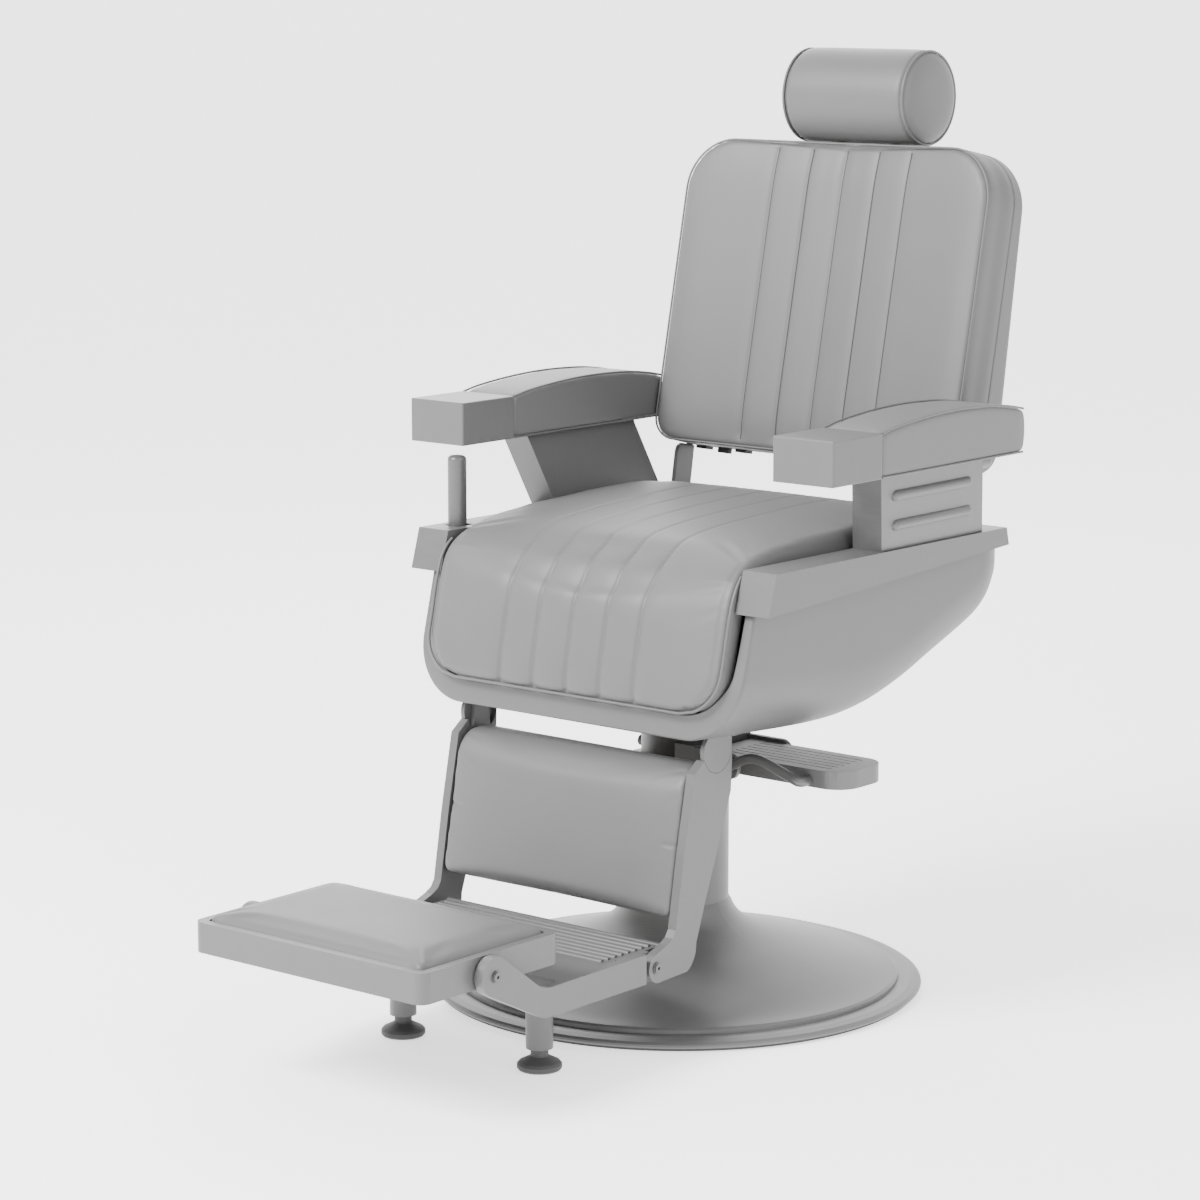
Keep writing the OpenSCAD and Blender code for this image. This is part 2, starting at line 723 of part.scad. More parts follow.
// ---------- flip-over footrest ----------
module tray_outline(inset) {
  w = pad_w / 2 - inset;
  r = max(14 - inset, 7);
  y0 = tray_front + inset;
  y1 = tray_rear - inset;
  polygon(concat(
    arc([w - r, y1 - r], r, 0, 90, 8), arc([-w + r, y1 - r], r, 90, 180, 8),
    arc([-w + r, y0 + r], r, 180, 270, 8), arc([w - r, y0 + r], r, 270, 360, 8)
  ));
}
module footrest_tray() {
  color("silver") difference() {
    translate([0, 0, tray_z]) linear_extrude(tray_top - tray_z) tray_outline(0);
    translate([0, 0, tray_top - 14]) linear_extrude(30) tray_outline(12);
    mirrored() x_rod(6 + fit, pad_w / 2 - 16, 200, boss[0], boss[1]);
  }
}
module footrest_cushion() {
  color("silver") {
    translate([0, 0, tray_top - 13.7]) linear_extrude(21) tray_outline(12.4);
    translate([0, 0, tray_top + 7]) linear_extrude(5) tray_outline(19);
  }
}

// ---------- levelling feet ----------
module foot_left() {
  color("dimgray") translate([foot_x, foot_y, 0]) rotate_extrude() polygon([
    [0, 0], [26, 0], [28, 2.5], [28, 7], [25.5, 10], [12, 17], [11, 19], [11, 70], [0, 70]
  ]);
}

// ---------- assembly ----------
module opposite() {
  mirror([1, 0, 0]) children();
}
base_pad();
base_ring();
base_plate();
base_cover();
base_bolts();
column_tube();
column_bush();
hydraulic_cylinder();
wiper_seal();
ram();
ram_piston();
piston_seal();
thrust_bearing();
pump_head();
swivel_lock_knob();
seat_plate_bolts();
seat_frame();
seat_shell();
rail_left();
rail_right();
rail_screws();
seat_board();
seat_cushion();
arm_bracket_left();
opposite() arm_bracket_left();  // arm_bracket_right
arm_cap_left();
opposite() arm_cap_left();  // arm_cap_right
arm_pad_left();
opposite() arm_pad_left();  // arm_pad_right
leg_hanger_left();
opposite() leg_hanger_left();  // leg_hanger_right
lock_cylinder();
lock_rod();
recline_lever();
pump_plunger();
pedal_shaft();
pedal_tread();
back_shaft();
back_bracket_left();
opposite() back_bracket_left();  // back_bracket_right
back_board();
back_cushion();
back_cover();
headrest_sleeves();
back_glides();
headrest_posts();
headrest_roll();
recline_links();
leg_bar_left();
opposite() leg_bar_left();  // leg_bar_right
calf_board();
calf_pad();
foot_arm_left();
opposite() foot_arm_left();  // foot_arm_right
tread_plate();
pivot_screws();
footrest_tray();
footrest_cushion();
foot_left();
opposite() foot_left();  // foot_right
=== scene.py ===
import math

import bmesh
import bpy
import numpy as np
from mathutils import Matrix, Vector
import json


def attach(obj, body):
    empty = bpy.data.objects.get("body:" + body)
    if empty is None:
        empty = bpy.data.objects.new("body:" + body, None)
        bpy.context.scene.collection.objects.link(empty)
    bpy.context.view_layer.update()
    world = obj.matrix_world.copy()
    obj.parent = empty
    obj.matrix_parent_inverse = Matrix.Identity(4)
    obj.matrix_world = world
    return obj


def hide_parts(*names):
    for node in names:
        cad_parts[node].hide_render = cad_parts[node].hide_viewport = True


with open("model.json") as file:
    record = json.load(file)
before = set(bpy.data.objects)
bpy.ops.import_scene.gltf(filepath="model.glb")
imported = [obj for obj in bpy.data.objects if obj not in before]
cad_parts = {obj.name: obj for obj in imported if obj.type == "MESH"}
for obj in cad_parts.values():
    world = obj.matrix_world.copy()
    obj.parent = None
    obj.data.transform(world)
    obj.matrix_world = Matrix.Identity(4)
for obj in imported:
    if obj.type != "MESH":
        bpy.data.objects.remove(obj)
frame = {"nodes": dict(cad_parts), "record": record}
record = frame["record"]
nodes = frame["nodes"]
SLOT_OF = {s["node"]: s["material_slot"] for s in record["subparts"]}
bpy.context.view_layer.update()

BACK_ORIGIN = Vector((0.0, 0.2912, 0.7128))
BACK_TILT = math.radians(12.08)
BACK = Matrix.Translation(BACK_ORIGIN) @ Matrix.Rotation(-BACK_TILT, 4, "X")
SEAMS = (-0.110, -0.055, 0.0, 0.055, 0.110)
PIPING = 0.0020
TONE = 0.27  # brings every finish to the grey of the whole chair under the studio light


# ---------- materials ----------
def mix_colour(tree, base, amount, scale, detail=4.0, stretch=(1, 1, 1)):
    """A noise that darkens and lightens the base colour a little. Returns the noise node too."""
    coord = tree.nodes.new("ShaderNodeTexCoord")
    mapping = tree.nodes.new("ShaderNodeMapping")
    mapping.inputs["Scale"].default_value = stretch
    noise = tree.nodes.new("ShaderNodeTexNoise")
    noise.inputs["Scale"].default_value = scale
    noise.inputs["Detail"].default_value = detail
    ramp = tree.nodes.new("ShaderNodeValToRGB")
    low, high = ramp.color_ramp.elements
    low.position, high.position = 0.3, 0.7
    low.color = [c * (1 - amount) for c in base] + [1]
    high.color = [min(1, c * (1 + amount)) for c in base] + [1]
    tree.links.new(coord.outputs["Object"], mapping.inputs["Vector"])
    tree.links.new(mapping.outputs["Vector"], noise.inputs["Vector"])
    tree.links.new(noise.outputs["Fac"], ramp.inputs["Fac"])
    return mapping, noise, ramp


def surface(name, base, rough, spread=0.04, metallic=0.0, amount=0.03, scale=30.0, grain=0.0, grain_scale=900.0,
            stretch=(1, 1, 1), cells=False, sheen=0.0):
    """One procedural finish: mottled colour, varied roughness and a fine bump."""
    mat = bpy.data.materials.new(name)
    mat.use_nodes = True
    tree = mat.node_tree
    shader = tree.nodes["Principled BSDF"]
    base = [c * TONE for c in base]
    mapping, noise, ramp = mix_colour(tree, base, amount, scale, stretch=stretch)
    tree.links.new(ramp.outputs["Color"], shader.inputs["Base Color"])
    spread_node = tree.nodes.new("ShaderNodeMapRange")
    spread_node.inputs["To Min"].default_value = rough - spread
    spread_node.inputs["To Max"].default_value = rough + spread
    tree.links.new(noise.outputs["Fac"], spread_node.inputs["Value"])
    tree.links.new(spread_node.outputs["Result"], shader.inputs["Roughness"])
    shader.inputs["Metallic"].default_value = metallic
    shader.inputs["Sheen Weight"].default_value = sheen
    if grain:
        if cells:
            fine = tree.nodes.new("ShaderNodeTexVoronoi")
            fine.feature = "SMOOTH_F1"
            out = fine.outputs["Distance"]
        else:
            fine = tree.nodes.new("ShaderNodeTexNoise")
            fine.inputs["Detail"].default_value = 3.0
            out = fine.outputs["Fac"]
        fine.inputs["Scale"].default_value = grain_scale
        bump = tree.nodes.new("ShaderNodeBump")
        bump.inputs["Strength"].default_value = grain
        bump.inputs["Distance"].default_value = 0.0004
        tree.links.new(mapping.outputs["Vector"], fine.inputs["Vector"])
        tree.links.new(out, bump.inputs["Height"])
        tree.links.new(bump.outputs["Normal"], shader.inputs["Normal"])
    return mat


def grey(value):
    return (value, value, value)


FINISH = {
    "rubber": surface("rubber", grey(0.20), 0.62, grain=0.25, grain_scale=1400, amount=0.05),
    "base_paint": surface("base_paint", grey(0.36), 0.42, grain=0.06, grain_scale=260, scale=9),
    "column_paint": surface("column_paint", grey(0.36), 0.40, grain=0.05, grain_scale=260, scale=12),
    "bronze": surface("bronze", (0.34, 0.33, 0.31), 0.34, metallic=0.8, stretch=(1, 1, 30)),
    "steel_dark": surface("steel_dark", grey(0.27), 0.48, grain=0.08, grain_scale=400),
    "bright_steel": surface("bright_steel", grey(0.37), 0.34, metallic=0.35, grain=0.05, stretch=(1, 1, 18)),
    "head_paint": surface("head_paint", grey(0.34), 0.46, grain=0.10, grain_scale=420),
    "alloy": surface("alloy", grey(0.38), 0.40, metallic=0.15, grain=0.05, grain_scale=600, stretch=(1, 14, 1)),
    "frame_paint": surface("frame_paint", grey(0.36), 0.42, grain=0.06, grain_scale=300),
    "shell": surface("shell", grey(0.36), 0.45, grain=0.07, grain_scale=520, scale=8),
    "plywood": surface("plywood", (0.42, 0.36, 0.29), 0.7, amount=0.12, stretch=(1, 12, 1), grain=0.1),
    "upholstery": surface("upholstery", grey(0.375), 0.50, spread=0.05, grain=0.16, grain_scale=1100, cells=True,
                          scale=14, amount=0.02, sheen=0.05),
    "piping": surface("piping", grey(0.35), 0.46, grain=0.10, grain_scale=1300, cells=True),
    "thread": surface("thread", grey(0.13), 0.70, grain=0.2, grain_scale=2600),
}
for name, obj in nodes.items():
    obj.data.materials.clear()
    obj.data.materials.append(FINISH[SLOT_OF[name]])


# ---------- mesh helpers ----------
def coords(obj):
    out = np.empty(len(obj.data.vertices) * 3)
    obj.data.vertices.foreach_get("co", out)
    return out.reshape(-1, 3)


def set_coords(obj, points):
    obj.data.vertices.foreach_set("co", np.ascontiguousarray(points).ravel())
    obj.data.update()


def normals(obj):
    out = np.empty(len(obj.data.vertices) * 3)
    obj.data.vertices.foreach_get("normal", out)
    return out.reshape(-1, 3)


def smooth(obj):
    obj.data.polygons.foreach_set("use_smooth", [True] * len(obj.data.polygons))
    obj.data.update()


def new_object(name, verts, faces, finish):
    mesh = bpy.data.meshes.new(name)
    mesh.from_pydata([tuple(v) for v in verts], [], faces)
    mesh.validate()
    mesh.update()
    obj = bpy.data.objects.new(name, mesh)
    bpy.context.scene.collection.objects.link(obj)
    obj.data.materials.append(FINISH[finish])
    return obj


def apply_modifiers(obj):
    graph = bpy.context.evaluated_depsgraph_get()
    graph.update()
    mesh = bpy.data.meshes.new_from_object(obj.evaluated_get(graph))
    obj.modifiers.clear()
    obj.data = mesh
    smooth(obj)


def loft(name, rings, finish, closed=True, caps=True):
    """Skin through rings of equal length. Closed rings wrap round; caps close both ends."""
    rings = np.array(rings)
    n, m = rings.shape[:2]
    faces = []
    last = m if closed else m - 1
    for i in range(n - 1):
        for j in range(last):
            k = (j + 1) % m
            faces.append((i * m + j, i * m + k, (i + 1) * m + k, (i + 1) * m + j))
    if caps:
        faces.append(tuple(range(m - 1, -1, -1)))
        faces.append(tuple(range((n - 1) * m, n * m)))
    obj = new_object(name, rings.reshape(-1, 3), faces, finish)
    bm = bmesh.new()
    bm.from_mesh(obj.data)
    bmesh.ops.recalc_face_normals(bm, faces=bm.faces)
    bm.to_mesh(obj.data)
    bm.free()
    smooth(obj)
    return obj


def remesh(obj, size, passes=6):
    mod = obj.modifiers.new("remesh", "REMESH")
    mod.mode = "VOXEL"
    mod.voxel_size = size
    mod.use_smooth_shade = True
    relax = obj.modifiers.new("relax", "SMOOTH")
    relax.factor = 0.5
    relax.iterations = passes
    apply_modifiers(obj)


def inflate(obj, held, cap, pressure=4.0):
    """Swells a cushion by cloth simulation. held marks the vertices that stay; cap is the farthest any point moves."""
    rest = coords(obj)
    group = obj.vertex_groups.new(name="held")
    group.add([int(i) for i in np.nonzero(held)[0]], 1.0, "REPLACE")
    mod = obj.modifiers.new("cloth", "CLOTH")
    mod.settings.vertex_group_mass = "held"
    mod.settings.quality = 4
    mod.settings.mass = 0.4
    mod.settings.tension_stiffness = 12
    mod.settings.compression_stiffness = 12
    mod.settings.shear_stiffness = 4
    mod.settings.bending_stiffness = 0.6
    mod.settings.use_pressure = True
    mod.settings.uniform_pressure_force = pressure
    mod.settings.effector_weights.gravity = 0
    mod.point_cache.frame_start = 1
    mod.point_cache.frame_end = 20
    scene = bpy.context.scene
    for i in range(1, 21):
        scene.frame_set(i)
    graph = bpy.context.evaluated_depsgraph_get()
    done = obj.evaluated_get(graph).to_mesh()
    moved = np.empty(len(done.vertices) * 3)
    done.vertices.foreach_get("co", moved)
    obj.evaluated_get(graph).to_mesh_clear()
    step = moved.reshape(-1, 3) - rest
    length = np.linalg.norm(step, axis=1, keepdims=True)
    step *= cap * np.tanh(length / cap) / np.maximum(length, 1e-9)
    obj.modifiers.clear()
    obj.vertex_groups.clear()
    set_coords(obj, rest + step)
    scene.frame_set(1)


def refine(obj, relax=2):
    mod = obj.modifiers.new("fine", "SUBSURF")
    mod.levels = 1
    mod.render_levels = 1
    if relax:
        soft = obj.modifiers.new("relax", "SMOOTH")
        soft.factor = 0.4
        soft.iterations = relax
    apply_modifiers(obj)


def press(obj, depth):
    """Moves each vertex inwards along its normal by depth(points, normals), in metres."""
    points = coords(obj)
    n = normals(obj)
    set_coords(obj, points - n * depth(points, n)[:, None])
    smooth(obj)


def groove(distance, depth, width):
    """A sewn channel: a fine sharp line in a soft valley."""
    return depth * (0.55 * np.exp(-((distance / width) ** 2)) + 0.45 * np.exp(-((distance / (width * 4.5)) ** 2)))


def tube(name, path, radius, finish="piping", closed=False, sides=10):
    curve = bpy.data.curves.new(name, "CURVE")
    curve.dimensions = "3D"
    curve.bevel_depth = radius
    curve.bevel_resolution = max(1, sides // 4)
    curve.use_fill_caps = True
    spline = curve.splines.new("POLY")
    spline.points.add(len(path) - 1)
    for point, p in zip(spline.points, path):
        point.co = (p[0], p[1], p[2], 1)
    spline.use_cyclic_u = closed
    obj = bpy.data.objects.new(name, curve)
    bpy.context.scene.collection.objects.link(obj)
    graph = bpy.context.evaluated_depsgraph_get()
    graph.update()
    mesh = bpy.data.meshes.new_from_object(obj.evaluated_get(graph))
    bpy.data.objects.remove(obj)
    made = bpy.data.objects.new(name, mesh)
    bpy.context.scene.collection.objects.link(made)
    made.data.materials.append(FINISH[finish])
    smooth(made)
    return made


def bevel(name, width, segments=3, angle=35):
    """Rounds the edges of a CAD node."""
    obj = nodes[name]
    weld = obj.modifiers.new("weld", "WELD")
    weld.merge_threshold = 0.00002
    mod = obj.modifiers.new("bevel", "BEVEL")
    mod.width = width
    mod.segments = segments
    mod.limit_method = "ANGLE"
    mod.angle_limit = math.radians(angle)
    mod.harden_normals = False
    mod.use_clamp_overlap = True
    return mod


def arc(cx, cy, r, a0, a1, n):
    angles = np.radians(np.linspace(a0, a1, n + 1))
    return np.stack([cx + r * np.cos(angles), cy + r * np.sin(angles)], 1)


def rounded(half, low, high, r_high, r_low, n=12):
    """Outline of a rounded rectangle across x, from low to high."""
    return np.concatenate([
        arc(half - r_high, high - r_high, r_high, 0, 90, n),
        arc(-half + r_high, high - r_high, r_high, 90, 180, n),
        arc(-half + r_low, low + r_low, r_low, 180, 270, n),
        arc(half - r_low, low + r_low, r_low, 270, 360, n),
    ])


def placed(points, matrix=BACK):
    m = np.array(matrix)
    return np.asarray(points) @ m[:3, :3].T + m[:3, 3]


def smoothstep(x, a, b):
    t = np.clip((x - a) / (b - a), 0, 1)
    return t * t * (3 - 2 * t)


def spline_through(points, count):
    """Even points along a Catmull-Rom curve through the given ones."""
    p = np.array(points, float)
    p = np.concatenate([[2 * p[0] - p[1]], p, [2 * p[-1] - p[-2]]])
    out = []
    for i in range(1, len(p) - 2):
        for t in np.linspace(0, 1, 24, endpoint=False):
            a, b, c, d = p[i - 1], p[i], p[i + 1], p[i + 2]
            out.append(0.5 * ((2 * b) + (c - a) * t + (2 * a - 5 * b + 4 * c - d) * t * t
                              + (3 * b - a - 3 * c + d) * t ** 3))
    out.append(p[-2])
    out = np.array(out)
    s = np.concatenate([[0], np.cumsum(np.linalg.norm(np.diff(out, axis=0), axis=1))])
    even = np.linspace(0, s[-1], count)
    return np.stack([np.interp(even, s, out[:, k]) for k in range(out.shape[1])], 1)


def finish_piece(obj, body, replaced=(), extras=()):
    """Hooks a made piece and its extras to its CAD body and hides the CAD parts it replaces."""
    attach(obj, body)
    if replaced:
        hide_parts(*replaced)
    for extra in extras:
        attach(extra, body)


# ---------- seat shell ----------
def shell_section(y, lift, radius):
    """Right half of one cross-section, from the top of the side wall to the centre of the floor."""
    path = SHELL_PATH + np.array([0, lift])
    reach = np.sqrt(np.maximum(radius ** 2 - (y - path[:, 0]) ** 2, 0))
    ok = reach > 0
    centre, reach = path[ok][:, 1], reach[ok]
    out = []
    for a in np.radians(np.linspace(0, 90, 21)):
        best = np.argmax(-centre * math.sin(a) + reach)
        if a == 0:
            best = np.nonzero(reach > reach.max() - 1e-7)[0][0]
        out.append((SHELL_X + reach[best] * math.cos(a), centre[best] - reach[best] * math.sin(a)))
    return out


SHELL_X = 0.185
SHELL_R = 0.080
SHELL_REAR = 0.3210
SHELL_WALL = 0.012
rough_path = spline_through([(-0.320, 0.478), (-0.150, 0.4660), (0.0, 0.4560), (0.080, 0.4590), (0.150, 0.4750),
                             (0.220, 0.4998), (0.285, 0.5230), (0.312, 0.5350), (0.3210, 0.5480)], 900)
SHELL_PATH = np.concatenate([rough_path, np.stack([np.full(60, 0.3210), np.linspace(0.5485, 0.66, 60)], 1)])


def shell_rings(radius):
    rings = []
    stations_end = SHELL_REAR + radius * np.sin(np.radians(np.linspace(3, 89.2, 30)))
    stations = np.concatenate([np.linspace(-0.205, SHELL_REAR, 60), stations_end])
    for y in stations:
        half = shell_section(y, 0.0, radius)
        top = 0.551 + 0.0502 * (y + 0.192)
        x0, z0 = half[0]
        wall = [(x0, z) for z in np.linspace(top, z0, 10)[:-1]]
        floor = [(x, half[-1][1]) for x in np.linspace(half[-1][0], 0, 12)[1:]]
        line = wall + half + floor
        line = line + [(-x, z) for x, z in line[-2::-1]]
        front = 1 - smoothstep(y, -0.205, 0.05)
        ring = []
        for x, z in line:
            cut = -0.183 - (0.548 - z) * 0.25
            ring.append((x, y + front * (cut - (-0.205)), z))
        rings.append(ring)
    return np.array(rings)


outer = shell_rings(SHELL_R)
inner = shell_rings(SHELL_R - SHELL_WALL)
# thicken the front rim: the inner skin steps in over its last stretch
lip = 1 - smoothstep(inner[:, :, 1], -0.215, -0.150)
inner[:, :, 0] *= 1 - 0.022 * lip
inner[:, :, 2] += lip * 0.020 * smoothstep(0.52 - inner[:, :, 2], 0.0, 0.11)
n, m = outer.shape[:2]
verts = np.concatenate([outer.reshape(-1, 3), inner.reshape(-1, 3)])
faces = []
size = n * m
for i in range(n - 1):
    for j in range(m - 1):
        a, b, c, d = i * m + j, i * m + j + 1, (i + 1) * m + j + 1, (i + 1) * m + j
        faces.append((a, b, c, d))
        faces.append((size + a, size + d, size + c, size + b))
    for j in (0, m - 1):
        a, d = i * m + j, (i + 1) * m + j
        faces.append((a, d, size + d, size + a) if j == 0 else (a, size + a, size + d, d))
for j in range(m - 1):
    faces.append((j, size + j, size + j + 1, j + 1))
end = (n - 1) * m
faces.append(tuple(end + j for j in range(m)))
faces.append(tuple(size + end + j for j in range(m - 1, -1, -1)))
faces.append((end, end + m - 1, size + end + m - 1, size + end))
shell = new_object("seat_shell_moulding", verts, faces, "shell")
bm = bmesh.new()
bm.from_mesh(shell.data)
bmesh.ops.recalc_face_normals(bm, faces=bm.faces)
bm.to_mesh(shell.data)
bm.free()
mod = shell.modifiers.new("rim", "BEVEL")
mod.width = 0.0055
mod.segments = 5
mod.limit_method = "ANGLE"
mod.angle_limit = math.radians(50)
apply_modifiers(shell)
cutters = []
# slots in the floor for the leg hangers
SLOT_X, SLOT_WIDE = 0.1905, 0.025
SLOT_Y = (-0.203, -0.112)
for x in (SLOT_X, -SLOT_X):
    bpy.ops.mesh.primitive_cube_add(size=1, location=(x, sum(SLOT_Y) / 2, 0.39),
                                    scale=(SLOT_WIDE, SLOT_Y[1] - SLOT_Y[0], 0.07))
    cutters.append(bpy.context.object)
for cutter in cutters:
    cut = shell.modifiers.new("slot", "BOOLEAN")
    cut.object = cutter
    cut.operation = "DIFFERENCE"
    cut.solver = "EXACT"
apply_modifiers(shell)
for cutter in cutters:
    bpy.data.objects.remove(cutter)
finish_piece(shell, "seat", ("seat_shell",))


# ---------- seat cushion ----------
# centre line of the outer face in (y, z), from the rear over the front edge and down the flap
SEAT_LINE = [(0.247, 0.627), (0.200, 0.6350), (0.130, 0.6360), (0.040, 0.6335), (-0.040, 0.6300), (-0.110, 0.6235),
             (-0.150, 0.6145), (-0.180, 0.6000), (-0.1985, 0.5780), (-0.2100, 0.5450), (-0.2200, 0.5000),
             (-0.2300, 0.4600), (-0.2380, 0.4270)]
SEAT_HALF = 0.2355
line = spline_through(SEAT_LINE, 130)
line_s = np.concatenate([[0], np.cumsum(np.linalg.norm(np.diff(line, axis=0), axis=1))])
total = line_s[-1]
tangent = np.gradient(line, axis=0)
tangent /= np.linalg.norm(tangent, axis=1, keepdims=True)
out_n = np.stack([tangent[:, 1], -tangent[:, 0]], 1)
if out_n[10][1] < 0:
    out_n = -out_n
flap_r = 0.056
FLAP_EXTRA = 0.0058  # how much wider the flap is than the top, each side


def seat_half(s):
    """Half width of the cushion at distance s along its outer face."""
    left = np.clip(total - s, 0, flap_r)
    widened = SEAT_HALF + FLAP_EXTRA * smoothstep(s, total - 0.24, total - 0.15)
    return widened - (flap_r - np.sqrt(np.maximum(flap_r ** 2 - (flap_r - left) ** 2, 0)))


def seat_thick(s):
    return 0.058 - 0.017 * smoothstep(s, total - 0.235, total - 0.14)


def seat_ring(i, shrink=0.0):
    s = line_s[i]
    half = seat_half(s) - shrink
    thick = seat_thick(s)
    top, bottom = -0.004 - shrink, -thick + shrink
    r = min(0.016, (top - bottom) * 0.45)
    ring = []
    box = rounded(max(half, 0.02), bottom, top, r, r * 0.6, 6)
    for x, u in box:
        y, z = line[i] + out_n[i] * u
        ring.append((x, y, z))
    return ring


rings = []
for k, shrink in ((0, 0.014), (0, 0.006), (1, 0.002)):
    rings.append(seat_ring(k, shrink))
rings += [seat_ring(i) for i in range(2, len(line) - 2)]
rings.append(seat_ring(len(line) - 1, 0.006))
seat = loft("seat_cushion_pad", rings, "upholstery")
remesh(seat, 0.005, 6)
p = coords(seat)
held = (p[:, 2] < 0.585) & (p[:, 1] > -0.17)
held |= (np.abs(normals(seat)[:, 0]) > 0.35) | (p[:, 2] < 0.440)
inflate(seat, held, 0.006)
refine(seat)


def seat_face(points):
    """How much a point belongs to the outer face: distance below it, and position along it."""
    q = points[:, 1:]
    best = np.argmin(((q[:, None, :] - line[None, ::2, :]) ** 2).sum(2), axis=1) * 2
    return ((q - line[best]) * out_n[best]).sum(1), line_s[best]


def seat_seams(points, n):
    depth, s = seat_face(points)
    near = smoothstep(depth, -0.016, -0.008)
    flap = smoothstep(s, total - 0.24, total - 0.17)
    ends = smoothstep(s, 0.0, 0.03)
    out = np.zeros(len(points))
    for x in SEAMS:
        away = np.abs(points[:, 0] - x)
        out += (1 - flap) * 0.0011 * np.exp(-((away / 0.0030) ** 2)) + flap * groove(away, 0.0046, 0.0026)
    inset = seat_half(s) - np.abs(points[:, 0])
    border = flap * 0.0014 * np.exp(-((inset - 0.012) / 0.004) ** 2)
    return (out * smoothstep(inset, 0.0, 0.05) + border) * near * ends


press(seat, seat_seams)


def seat_edge(side, depth, inset):
    path = []
    for i in range(2, len(line)):
        if line_s[i] < total - 0.190:
            continue
        half = seat_half(line_s[i])
        y, z = line[i] - out_n[i] * depth
        path.append((side * (half - inset), y, z))
    return path


left = seat_edge(1, 0.0085, 0.0005)
right = seat_edge(-1, 0.0085, 0.0005)
welt = tube("seat_cushion_welt", left + right[::-1], PIPING)
finish_piece(seat, "seat", ("seat_cushion",), (welt,))


# ---------- back cushion ----------
BACK_HALF = 0.258
BACK_DEEP = 0.030


def hollow(points):
    """Gives the flat back its hollow face: the sides stand forward, and step in where they pass the arm rests."""
    q = np.array(points, float)
    ahead = 0.004 + 0.024 * (np.minimum(np.abs(q[:, 0]), 0.252) / 0.25) ** 1.3
    q[:, 1] -= ahead * (BACK_DEEP - q[:, 1]) / BACK_DEEP
    q[:, 0] *= 1 - 0.0190 * smoothstep(0.018 - q[:, 1], 0.0, 0.010)
    return q


front_r = 0.007
rings = []
for v, inset in ([(0.0380, 0.0050), (0.0340, 0.0010), (0.0300, 0.0003)] + [(v, 0.0) for v in np.linspace(0.025, 0.008, 6)]
                 + [(front_r - front_r * math.sin(a), 1.5 * front_r * (1 - math.cos(a)))
                    for a in np.radians(np.linspace(5, 90, 9))]):
    ring = [(x, v, w) for x, w in rounded(BACK_HALF - inset, -0.038 + inset, 0.388 - inset, 0.075 - inset * 0.6,
                                          0.032 - inset * 0.2, 12)]
    rings.append(ring)
back = loft("back_cushion_pad", rings, "upholstery")
remesh(back, 0.005, 3)
set_coords(back, placed(hollow(coords(back))))
smooth(back)
to_back = np.array(BACK.inverted())


def local(points):
    return points @ to_back[:3, :3].T + to_back[:3, 3]


facing = -(normals(back) @ np.array(BACK)[:3, 1])
inflate(back, (local(coords(back))[:, 1] > 0.020) | (facing < 0.93), 0.004)
refine(back)


def back_seams(points, n):
    q = local(points)
    facing = smoothstep(-(n @ np.array(BACK)[:3, 1]), 0.35, 0.8)
    low = smoothstep(q[:, 2], -0.034, -0.016)
    out = np.zeros(len(points))
    for x in SEAMS:
        out += groove(np.abs(q[:, 0] - x), 0.0030, 0.0022)
    return out * facing * low * smoothstep(0.386 - q[:, 2], 0, 0.012)


press(back, back_seams)


def laid_on(obj, starts, way, sink=0.0003):
    """Drops points along a direction until they lie just under the surface of a piece."""
    out = []
    for start in starts:
        hit, place, _, _ = obj.ray_cast(Vector(start), Vector(way))
        if hit:
            out.append(place + Vector(way) * sink)
    return out


forward = np.array(BACK)[:3, 1]
back_threads = []
for k, x in enumerate(SEAMS):
    starts = placed([(x, -0.2, w) for w in np.linspace(-0.026, 0.378, 80)])
    path = laid_on(back, starts, forward)
    back_threads.append(tube("back_seam_%d" % (k + 1), path, 0.0010, "thread", sides=8))
edge = hollow([(x, 0.0024, w) for x, w in rounded(BACK_HALF - 0.0024, -0.0358, 0.3858, 0.073, 0.031, 16)])
back_welt = tube("back_cushion_welt", placed(edge), 0.0015, closed=True)
finish_piece(back, "back", ("back_cushion",), [back_welt] + back_threads)

# moulded cover behind the cushion, thinner towards the top, with a soft rear edge
COVER_START = 0.0302
cover_r = 0.016
rings = []
for deep, inset in [(0.0, 0.003), (0.0, 0.0006), (0.02, 0.0)] + [(t, 0.0) for t in np.linspace(0.1, 0.66, 6)] + \
        [(0.68 + 0.32 * math.sin(a), cover_r * (1 - math.cos(a))) for a in np.radians(np.linspace(8, 90, 10))] + \
        [(1.0, cover_r + 0.02), (1.0, cover_r + 0.05)]:
    ring = []
    for x, w in rounded(BACK_HALF - inset, -0.038 + inset, 0.388 - inset, 0.075 - inset * 0.6, 0.034 - inset * 0.3, 14):
        rear = 0.0816 - 0.0300 * (w + 0.047) / 0.435
        ring.append((x, COVER_START + (rear - COVER_START) * deep, w))
    rings.append(placed(ring))
cover = loft("back_cover_moulding", rings, "upholstery")
finish_piece(cover, "back", ("back_cover",))


